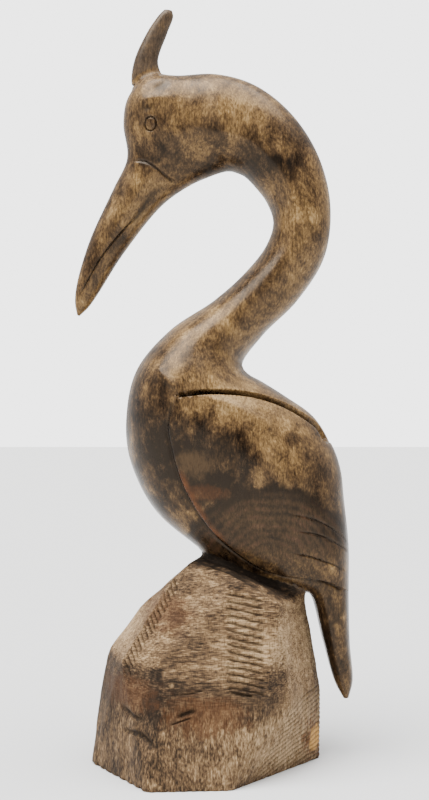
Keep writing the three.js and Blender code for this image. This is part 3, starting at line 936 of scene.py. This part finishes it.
def hewn_tree():
    """The tree that gives the block its uneven, hewn surface."""
    tree, given = geometry_tree("Hewn surface", (
        ("Height", "Float"), ("Seed", "Float"), ("Wood", "Material"),
    ))
    place = tree.add("GeometryNodeInputPosition").outputs[0]
    low = tree.axes(place)[2]
    moved = tree.vector("ADD", place, given["Seed"])
    waves = tree.centred(tree.noise(moved, 38.0, 1.0), 2.4)
    chips = tree.centred(tree.noise(tree.stretched(moved, 1.0, 1.0, 0.25), 260.0, 2.0, 0.6), 0.75)
    mask = tree.times(tree.named("sawn"), tree.rise(low, 0.0005, 0.004))
    strength = tree.times(tree.plus(waves, chips), mask)
    tree.finish(given["Geometry"], strength, tree.times(given["Height"], -1.0), given["Wood"])
    return tree.data


def use_tree(piece, tree, values):
    """Adds a tree to a piece and sets its inputs by their identifiers."""
    modifier = piece.modifiers.new(tree.name, "NODES")
    inputs = [item for item in tree.interface.items_tree if item.in_out == "INPUT"]
    identifiers = {item.name: item.identifier for item in inputs}
    modifier.node_group = tree
    for name, value in values.items():
        modifier[identifiers[name]] = value


def flat_path(name, lines, offset, fade_share):
    """Lines in the side view, as edges at the middle plane. An open line fades out at its ends."""
    points, edges, fades = [], [], []
    for line in lines:
        start, count = len(points), len(line)
        shares = np.linspace(0, 1, count)
        fade = smoothstep(np.minimum(shares, 1 - shares), -0.002, fade_share)
        fades += (np.ones(count) if np.allclose(line[0], line[-1]) else fade).tolist()
        points += [(x + offset[0], 0.0, z + offset[2]) for x, z in line]
        edges += [(start + step, start + step + 1) for step in range(count - 1)]
    mesh = bpy.data.meshes.new(name)
    mesh.from_pydata(points, edges, [])
    store(mesh, "fade", fades)
    return placed(name, mesh)


def carve_lines(piece, bird, block, lines, wood):
    """Cuts the slit, the feather, mouth and brow lines, the eyes and the block's splits."""
    tree, unit, offset = line_tree(), bird.height / 100, bird_offset(bird, block)
    thin, deep = lines.line_width, lines.line_depth

    def soft(*curves):
        return [smooth_line(curve, 12) * unit for curve in curves]

    # Each cut has its lines, width, depth, flat share of the floor and the share that fades out.
    edge = np.array(WING_FRONT) - np.array(EDGE_LINE_SHIFT)
    cuts = [
        ("Slit", soft(SLIT_LINE), lines.slit_width, lines.slit_depth, 0.45, 0.06),
        ("Feathers", soft(*FEATHER_LINES), thin, 0.8 * deep, 0.1, 0.35),
        ("Mouth", soft(MOUTH_LINE), thin, deep, 0.1, 0.2),
        ("Wing Edge", soft(edge), 1.5 * thin, 0.7 * deep, 0.0, 0.05),
        ("Jaw", soft(JAW_LINE), 3.4 * thin, 0.7 * deep, 0.0, 0.3),
        ("Bill Root", soft(BILL_ROOT_LINE), 1.7 * thin, 1.05 * deep, 0.0, 0.25),
        ("Eye", [eye_ring(lines, unit)], 1.15 * thin, 1.2 * deep, 0.0, 0.2),
        ("Brow", soft(BROW_LINE), 0.0075, -0.0012, 0.0, 0.35),
        ("Brow Hollow", soft(BROW_HOLLOW), 0.0060, 0.0004, 0.0, 0.35),
        ("Crest Hollow", soft(CREST_HOLLOW), 0.0075, 0.0010, 0.0, 0.35),
        ("Crest Notch", soft(CREST_NOTCH), 0.0022, 0.0012, 0.0, 0.35),
        ("Wing Bevel", soft(WING_BEVEL), 0.0110, -0.0011, 0.0, 0.3),
        ("Collar", soft(COLLAR_LINE), 0.0060, -0.0012, 0.0, 0.3),
    ]
    on_bird = len(cuts)
    for number, (width, depth, line) in enumerate(BLOCK_CUTS):
        cuts.append((f"Split {number}", soft(line), width, depth, 0.1, 0.3))
    paths = []
    for number, (name, curves, width, depth, floor, fade) in enumerate(cuts):
        path = flat_path(name, curves, offset, fade)
        paths.append(path)
        on_block = float(number >= on_bird)
        use_tree(piece, tree, {
            "Path": path, "Width": width, "Depth": depth, "Flat Floor": floor,
            "Front Only": on_block, "On Block": on_block, "Wood": wood,
        })
    settle(piece)
    discard(paths)


def cut_saw_marks(piece, block, wood):
    """Roughens the block and cuts its patches of saw marks."""
    use_tree(piece, hewn_tree(), {"Height": block.roughness, "Seed": float(block.seed), "Wood": wood})
    tree = saw_tree()
    for number, patch in enumerate(SAW_PATCHES):
        centre, facing, across, half_across, half_along, lean, bend, pitch, depth = patch
        use_tree(piece, tree, {
            "Centre": centre, "Facing": Vector(facing).normalized(), "Across": across,
            "Half Across": half_across, "Half Along": half_along, "Lean": lean, "Bend": bend,
            "Pitch": pitch * block.saw_pitch, "Depth": depth * block.saw_depth,
            "Seed": float(block.seed + number), "Wood": wood,
        })
    settle(piece)


def wood_material(finish):
    """One wood for the whole carving: figured and waxed on the bird, dry and sawn on the block."""
    material = bpy.data.materials.new("carved_wood")
    material.use_nodes = True
    material.node_tree.nodes.clear()
    tree = Tree(material.node_tree)
    place = tree.add("ShaderNodeTexCoord").outputs["Object"]
    sawn, groove, crest, rim = (
        tree.add("ShaderNodeAttribute", attribute_name=name).outputs["Fac"]
        for name in ("sawn", "groove", "crest", "rim")
    )
    inputs = {"Vector": place, "Scale": 26.0, "Detail": 2.0}
    bend = tree.add("ShaderNodeTexNoise", inputs).outputs["Color"]
    bend = tree.scaled(tree.vector("SUBTRACT", bend, (0.5, 0.5, 0.5)), FIGURE_BEND)
    bent = tree.vector("ADD", place, bend)
    fibre = tree.stretched(place, 1.0, 1.0, 0.20)
    pores = tree.noise(tree.stretched(place, 1.0, 1.0, 0.07), 1500.0, 2.0, 0.6)
    polished = polished_colour(tree, finish, (place, bent), pores, crest, rim)
    colour = tree.mix(sawn, polished, hewn_colour(tree, finish, place, pores))
    # Painted shade: the cuts and saw marks are darkened towards the dark heart colour.
    colour = tree.mix(tree.calc("MULTIPLY", groove, 0.85, clamp=True), colour, finish.black)
    gloss = tree.rise(tree.noise(fibre, 160.0, 3.0), 0.3, 0.8, finish.gloss - 0.07, finish.gloss + 0.12)
    for centre, radii in POLISHED:
        gloss = tree.calc("MULTIPLY_ADD", tree.spot(place, centre, radii, None, 0.8), -0.06, gloss)
    gloss = tree.plus(gloss, tree.times(sawn, 0.50))
    height = tree.plus(tree.times(pores, 0.5), tree.noise(fibre, 420.0, 3.0))
    strength = tree.plus(tree.times(sawn, 0.55), 0.10)
    bump = tree.add("ShaderNodeBump", {"Strength": strength, "Distance": 0.0005, "Height": height})
    shader = tree.add("ShaderNodeBsdfPrincipled", {
        "Base Color": colour, "Roughness": gloss, "Normal": bump.outputs[0],
        "Specular IOR Level": 0.27, "Specular Tint": (1.0, 0.82, 0.64, 1.0),
    })
    tree.add("ShaderNodeOutputMaterial", {0: shader.outputs[0]})
    return material


def polished_colour(tree, finish, places, pores, crest, edge):
    """The figured wood of the bird, with the dark arch of the lower wing and its rings, and painted shade
    and highlights in its tones.
    """
    place, bent = places
    broad = tree.noise(place, 21.0, 3.0, 0.55, 0.8)
    cloud = tree.noise(tree.stretched(bent, 1.0, 1.0, 0.75), 90.0, 5.0, 0.62)
    fine = tree.noise(tree.stretched(bent, 1.0, 1.0, 0.50), 780.0, 4.0, 0.70)
    lines = tree.rings(place, (0.0, 0.075, 0.0), (0.10, 0.16, 0.0), 0.0042, 6.0)
    tone = tree.tone(((broad, 0.80), (cloud, 1.10), (fine, 1.10), (lines, 0.10)), 0.54)
    middle = tree.minus(cloud, 0.5)
    tone = tree.toned(tone, place, tree.times(middle, 1.6), 0.6, BIRD_TONES)
    colour = tree.ramp(tone, (
        (0.16, finish.black), (0.40, finish.brown), (0.58, finish.tan), (0.80, finish.gold),
        (1.0, finish.pale),
    ))
    slight = tree.times(middle, 0.35)
    under = tree.spot(place, ARCH, (0.060, 0.2, 0.058), slight, 0.05)
    inner = tree.spot(place, ARCH, (0.0550, 0.2, 0.0520), slight, 0.07)
    figure = tree.rings(bent, ARCH, (math.pi / 2, 0.0, 0.0), 0.0056, 5.0)
    plum = tree.ramp(tree.tone(((figure, 0.24), (fine, 1.0), (cloud, 0.9)), 0.36), (
        (0.15, finish.black), (0.45, finish.brown), (0.62, finish.plum), (0.95, finish.tan),
    ))
    height = tree.axes(place)[2]
    colour = tree.mix(tree.times(under, tree.rise(height, 0.124, 0.150), 0.92), colour, plum)
    outline = tree.times(under, tree.minus(1.0, inner), 0.9)
    colour = tree.mix(outline, colour, finish.black)
    swirl = tree.centred(tree.noise(place, 110.0, 4.0, 0.65), 2.4)
    colour = tree.painted(colour, place, swirl, (
        ((-0.0070, 0.0, 0.199), (0.0115, 0.2, 0.0075), finish.tan, 0.60),
        ((0.0010, 0.0, 0.181), (0.0125, 0.2, 0.0042), finish.russet, 0.30),
    ))
    orange = tree.times(edge, tree.rise(cloud, 0.36, 0.56, 0.25, 0.85))
    colour = tree.mix(orange, colour, finish.russet)
    colour = tree.mix(crest, colour, tree.mix(0.6, colour, CREST_GREY))
    return tree.mix(1.0, colour, tree.rise(pores, 0.30, 0.52, 0.50, 1.0), "MULTIPLY")


# Where the bird is darker or lighter than its own figure, some rows painted shade and highlights: centre,
# radii and change of tone.
BIRD_TONES = (
    ((-0.034, 0.0, 0.215), (0.016, 0.2, 0.040), -0.30),
    ((-0.002, 0.0, 0.206), (0.028, 0.2, 0.020), -0.36),
    ((0.004, 0.0, 0.182), (0.022, 0.2, 0.014), -0.28),
    ((0.055, 0.0, 0.214), (0.024, 0.2, 0.026), 0.26),
    # Painted sheen on the top of the wing, below the slit.
    ((0.012, 0.0, 0.236), (0.030, 0.2, 0.012), 0.26),
    # Painted highlight on the upper neck.
    ((0.026, 0.0, 0.430), (0.024, 0.2, 0.010), 0.16),
    ((0.010, 0.0, 0.254), (0.050, 0.2, 0.010), 0.12),
    ((0.024, 0.0, 0.372), (0.060, 0.2, 0.020), 0.05),
    ((0.062, 0.0, 0.200), (0.010, 0.2, 0.018), -0.14),
    ((-0.010, 0.0, 0.444), (0.060, 0.2, 0.018), 0.18),
    # Painted shade under the throat.
    ((0.012, 0.0, 0.396), (0.040, 0.2, 0.009), -0.14),
    # Painted sheen on the bill below its root line.
    ((-0.042, 0.0, 0.384), (0.011, 0.2, 0.009), 0.16),
    # Painted shade on the underside of the neck's arch.
    ((0.045, 0.0, 0.392), (0.022, 0.2, 0.008), -0.25),
    ((0.070, 0.0, 0.345), (0.026, 0.2, 0.045), 0.16),
    ((0.020, 0.0, 0.290), (0.040, 0.2, 0.022), 0.16),
    ((-0.030, 0.0, 0.340), (0.030, 0.2, 0.040), 0.06),
    # Painted shade under the wing's lower edge.
    ((0.012, 0.0, 0.131), (0.030, 0.030, 0.007), -0.45),
    ((0.075, 0.0, 0.090), (0.020, 0.2, 0.035), -0.10),
)


def hewn_colour(tree, finish, place, pores):
    """The dry, sawn wood of the block and of the stub, with painted shade under the bird."""
    axes = tree.axes(place)
    level, short = tree.stretched(place, 0.20, 0.6, 1.0), tree.stretched(place, 1.0, 1.0, 0.40)
    side = tree.rise(axes[2], 0.040, 0.062)
    lower, upper = tree.noise(short, 260.0, 5.0, 0.70, 0.3), tree.noise(level, 300.0, 5.0, 0.70, 0.3)
    streak = tree.mix_numbers(side, lower, upper)
    upright, flat = tree.noise(short, 900.0, 2.0, 0.6), tree.noise(level, 1100.0, 2.0, 0.6)
    flecks = tree.mix_numbers(side, upright, flat)
    broad = tree.noise(place, 30.0, 4.0, 0.6, 0.4)
    tone = tree.tone(((streak, 1.05), (flecks, 1.15), (broad, 0.80)), 0.54)
    slant = tree.calc("MULTIPLY_ADD", tree.minus(broad, 0.5), 0.020, axes[0])
    below = tree.rise(axes[2], 0.070, 0.078, 1.0, 0.0)
    below = tree.times(below, tree.rise(axes[2], 0.020, 0.055, 0.45))
    left = tree.times(tree.rise(slant, -0.0300, -0.0270, 1.0, 0.0), below)
    tone = tree.calc("MULTIPLY_ADD", left, -0.30, tone)
    warp = tree.centred(broad, 1.6)
    tone = tree.toned(tone, place, warp, 0.4, BLOCK_TONES)
    colour = tree.ramp(tone, (
        (0.12, finish.black), (0.34, finish.hewn_dark), (0.52, (0.108, 0.064, 0.032)),
        (0.68, finish.hewn), (0.95, (0.38, 0.262, 0.145)),
    ))
    colour = tree.painted(colour, place, tree.centred(streak, 3.2), (
        ((0.0000, -0.070, 0.045), (0.022, 0.08, 0.012), finish.rust, 0.42),
        ((-0.0480, -0.045, 0.056), (0.018, 0.08, 0.010), finish.rust, 0.34),
        ((-0.0250, -0.060, 0.105), (0.016, 0.08, 0.010), finish.rust, 0.30),
        ((-0.0211, -0.060, 0.0637), (0.0030, 0.02, 0.0030), finish.black, 0.70),
        ((-0.0211, -0.060, 0.0637), (0.0016, 0.02, 0.0016), finish.hewn, 0.80),
        ((0.0715, -0.030, 0.017), (0.0078, 0.045, 0.0140), finish.russet, 0.75),
    ))
    outer = tree.spot(place, (0.0735, -0.030, 0.0150), (0.0070, 0.045, 0.0115), warp, 0.12)
    colour = tree.mix(tree.times(outer, 0.95), colour, finish.sapwood)
    return tree.mix(1.0, colour, tree.rise(pores, 0.30, 0.55, 0.50, 1.0), "MULTIPLY")


# Where the bird is polished brightest: centre and radii.
POLISHED = (
    ((0.0240, 0.0, 0.432), (0.0240, 0.2, 0.0110)),
    ((-0.0430, 0.0, 0.386), (0.0080, 0.2, 0.0090)),
    ((-0.0250, 0.0, 0.170), (0.0200, 0.2, 0.0200)),
    ((0.0240, 0.0, 0.222), (0.0300, 0.2, 0.0160)),
    ((0.0520, 0.0, 0.135), (0.0220, 0.2, 0.0130)),
)

# Where the block and the stub are darker or lighter, the last three rows painted shade: centre, radii and
# change of tone.
BLOCK_TONES = (
    ((0.0100, -0.070, 0.052), (0.045, 0.08, 0.013), -0.22),
    ((0.0445, -0.058, 0.066), (0.010, 0.04, 0.008), -0.26),
    ((-0.0100, -0.070, 0.120), (0.018, 0.05, 0.006), -0.14),
    ((-0.0180, -0.060, 0.104), (0.005, 0.05, 0.005), -0.22),
    ((0.0420, -0.055, 0.105), (0.010, 0.05, 0.008), -0.12),
    ((-0.0580, -0.010, 0.100), (0.016, 0.034, 0.024), 0.30),
    ((0.0560, -0.040, 0.025), (0.036, 0.06, 0.026), 0.20),
    ((0.0300, -0.065, 0.088), (0.024, 0.05, 0.032), 0.14),
    ((0.0620, -0.030, 0.090), (0.020, 0.06, 0.030), 0.16),
    # Painted shade on the stub under the belly and the wing's lower edge.
    ((0.0320, -0.010, 0.139), (0.060, 0.030, 0.010), -0.50),
    ((0.0300, -0.020, 0.1265), (0.022, 0.030, 0.0070), -0.40),
    ((0.0520, -0.020, 0.1185), (0.018, 0.030, 0.0070), -0.40),
)


class CARVING_OT_bird_on_block(bpy.types.Operator):
    """Builds the bird and its block as one carved piece, with its wood"""

    bl_idname = "carving.bird_on_block"
    bl_label = "Bird on Block"

    def execute(self, context):
        scene = context.scene
        bird, block, lines = scene.carving_bird, scene.carving_block, scene.carving_lines
        body = shape_bird(bird, block, lines)
        crest = shape_plain_loft("crest", CREST_SECTIONS, bird, block, CREST_FACET, 20)
        stub = shape_plain_loft("stub", STUB_SECTIONS, bird, block, STUB_FACET, 20)
        base = shape_block(bird, block)
        trees = [surface_tree(piece) for piece in (body, crest, stub, base)]
        whole = joined([body, crest, stub, base])
        points = mesh_arrays(whole.data)[1]
        if len(points) == 0:
            raise RuntimeError("the bird, its crest, the stub and the block didn't join")
        on_body, on_crest, on_stub, on_base = (gap_to(tree, points, SEAM_REACH) for tree in trees)
        soften_seams(whole, (
            (on_body, on_crest, CREST_SEAM), (on_body, on_stub, STUB_SEAM), (on_stub, on_base, FOOT_SEAM),
        ))
        store(whole.data, "sawn", np.minimum(on_base, on_stub) < ON_SURFACE)
        store(whole.data, "crest", (1 - smoothstep(on_crest, 0.0, 0.004)) * (on_body > 0.0035))
        # The strength of the cuts, kept for their painted shade.
        store(whole.data, "groove", np.zeros(len(points)))
        store(whole.data, "rim", wing_rim(points, bird, block))
        wood = wood_material(scene.carving_wood)
        carve_lines(whole, bird, block, lines, wood)
        cut_saw_marks(whole, block, wood)
        whole.name = PIECE
        whole.data.name = PIECE
        whole.data.materials.clear()
        whole.data.materials.append(wood)
        whole.data.shade_smooth()
        whole.data.set_sharp_from_angle(angle=SHARP_ANGLE)
        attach(whole, BODY)
        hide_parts(NODE)
        print("triangles", len(mesh_arrays(whole.data)[0]))
        return {"FINISHED"}


class CARVING_OT_stage(bpy.types.Operator):
    """Sets up the floor, the soft light and the camera"""

    bl_idname = "carving.stage"
    bl_label = "Studio"

    def execute(self, context):
        stage = context.scene.carving_stage
        self.lay_floor()
        self.light(stage)
        camera = bpy.data.cameras.new("camera")
        camera.sensor_fit = "VERTICAL"
        camera.sensor_height = 36.0
        camera.lens = stage.lens
        viewer = placed("camera", camera)
        viewer.location = (stage.sideways, -stage.distance, stage.eye_level)
        viewer.rotation_euler = (math.pi / 2, 0.0, 0.0)
        context.scene.camera = viewer
        return {"FINISHED"}

    def lay_floor(self):
        """A plain pale floor under the block."""
        mesh = bpy.data.meshes.new("floor")
        half = 6.0
        corners = [(-half, -half, 0), (half, -half, 0), (half, half, 0), (-half, half, 0)]
        mesh.from_pydata(corners, [], [(0, 1, 2, 3)])
        floor = placed("floor", mesh)
        material = bpy.data.materials.new("pale_floor")
        material.use_nodes = True
        shader = material.node_tree.nodes["Principled BSDF"]
        shader.inputs["Base Color"].default_value = (0.66, 0.66, 0.655, 1.0)
        shader.inputs["Roughness"].default_value = 0.85
        shader.inputs["Specular IOR Level"].default_value = 0.0
        mesh.materials.append(material)

    def light(self, stage):
        """White surroundings that light the carving gently, and two broad lights above it."""
        world = bpy.data.worlds.new("surroundings")
        world.use_nodes = True
        bpy.context.scene.world = world
        tree = Tree(world.node_tree)
        seen = tree.add("ShaderNodeLightPath").outputs["Is Camera Ray"]
        ray = tree.add("ShaderNodeTexCoord").outputs["Generated"]
        back = tree.axes(ray)[1]
        fill = tree.rise(back, -1.0, 0.3, stage.near_fill, stage.fill)
        strength = tree.add("ShaderNodeMapRange", {0: seen, 3: fill, 4: stage.sky}).outputs[0]
        background = tree.data.nodes["Background"]
        background.inputs["Color"].default_value = (1.0, 1.0, 1.0, 1.0)
        tree.links.new(strength, background.inputs["Strength"])
        lamps = (("key", stage.key, (-0.45, -0.45, 1.1)), ("top", stage.top, (0.28, -0.20, 1.1)))
        for name, power, place in lamps:
            data = bpy.data.lights.new(name, "SUN")
            data.angle = stage.softness
            data.energy = power
            lamp = placed(name, data)
            lamp.location = place
            lamp.rotation_euler = (-Vector(place)).to_track_quat("-Z", "Y").to_euler()


class CARVING_PT_panel(bpy.types.Panel):
    """Lists the carving's sizes, colours and builders"""

    bl_idname = "CARVING_PT_panel"
    bl_label = "Carved Bird"
    bl_space_type = "VIEW_3D"
    bl_region_type = "UI"
    bl_category = "Carving"

    def draw(self, context):
        layout = self.layout
        for name in GROUPS:
            box = layout.box()
            group = getattr(context.scene, name)
            for key in group.bl_rna.properties.keys():
                if key not in ("rna_type", "name"):
                    box.prop(group, key)
        layout.operator(CARVING_OT_bird_on_block.bl_idname)
        layout.operator(CARVING_OT_stage.bl_idname)


GROUPS = {
    "carving_bird": BirdSizes,
    "carving_block": BlockSizes,
    "carving_lines": LineSizes,
    "carving_wood": WoodFinish,
    "carving_stage": StageSettings,
}
CLASSES = (*GROUPS.values(), CARVING_OT_bird_on_block, CARVING_OT_stage, CARVING_PT_panel)


def register():
    for item in CLASSES:
        bpy.utils.register_class(item)
    for name, group in GROUPS.items():
        setattr(bpy.types.Scene, name, PointerProperty(type=group))


def unregister():
    for name in GROUPS:
        delattr(bpy.types.Scene, name)
    for item in reversed(CLASSES):
        bpy.utils.unregister_class(item)


def main():
    register()
    bpy.ops.carving.bird_on_block()
    bpy.ops.carving.stage()


if __name__ == "__main__":
    main()
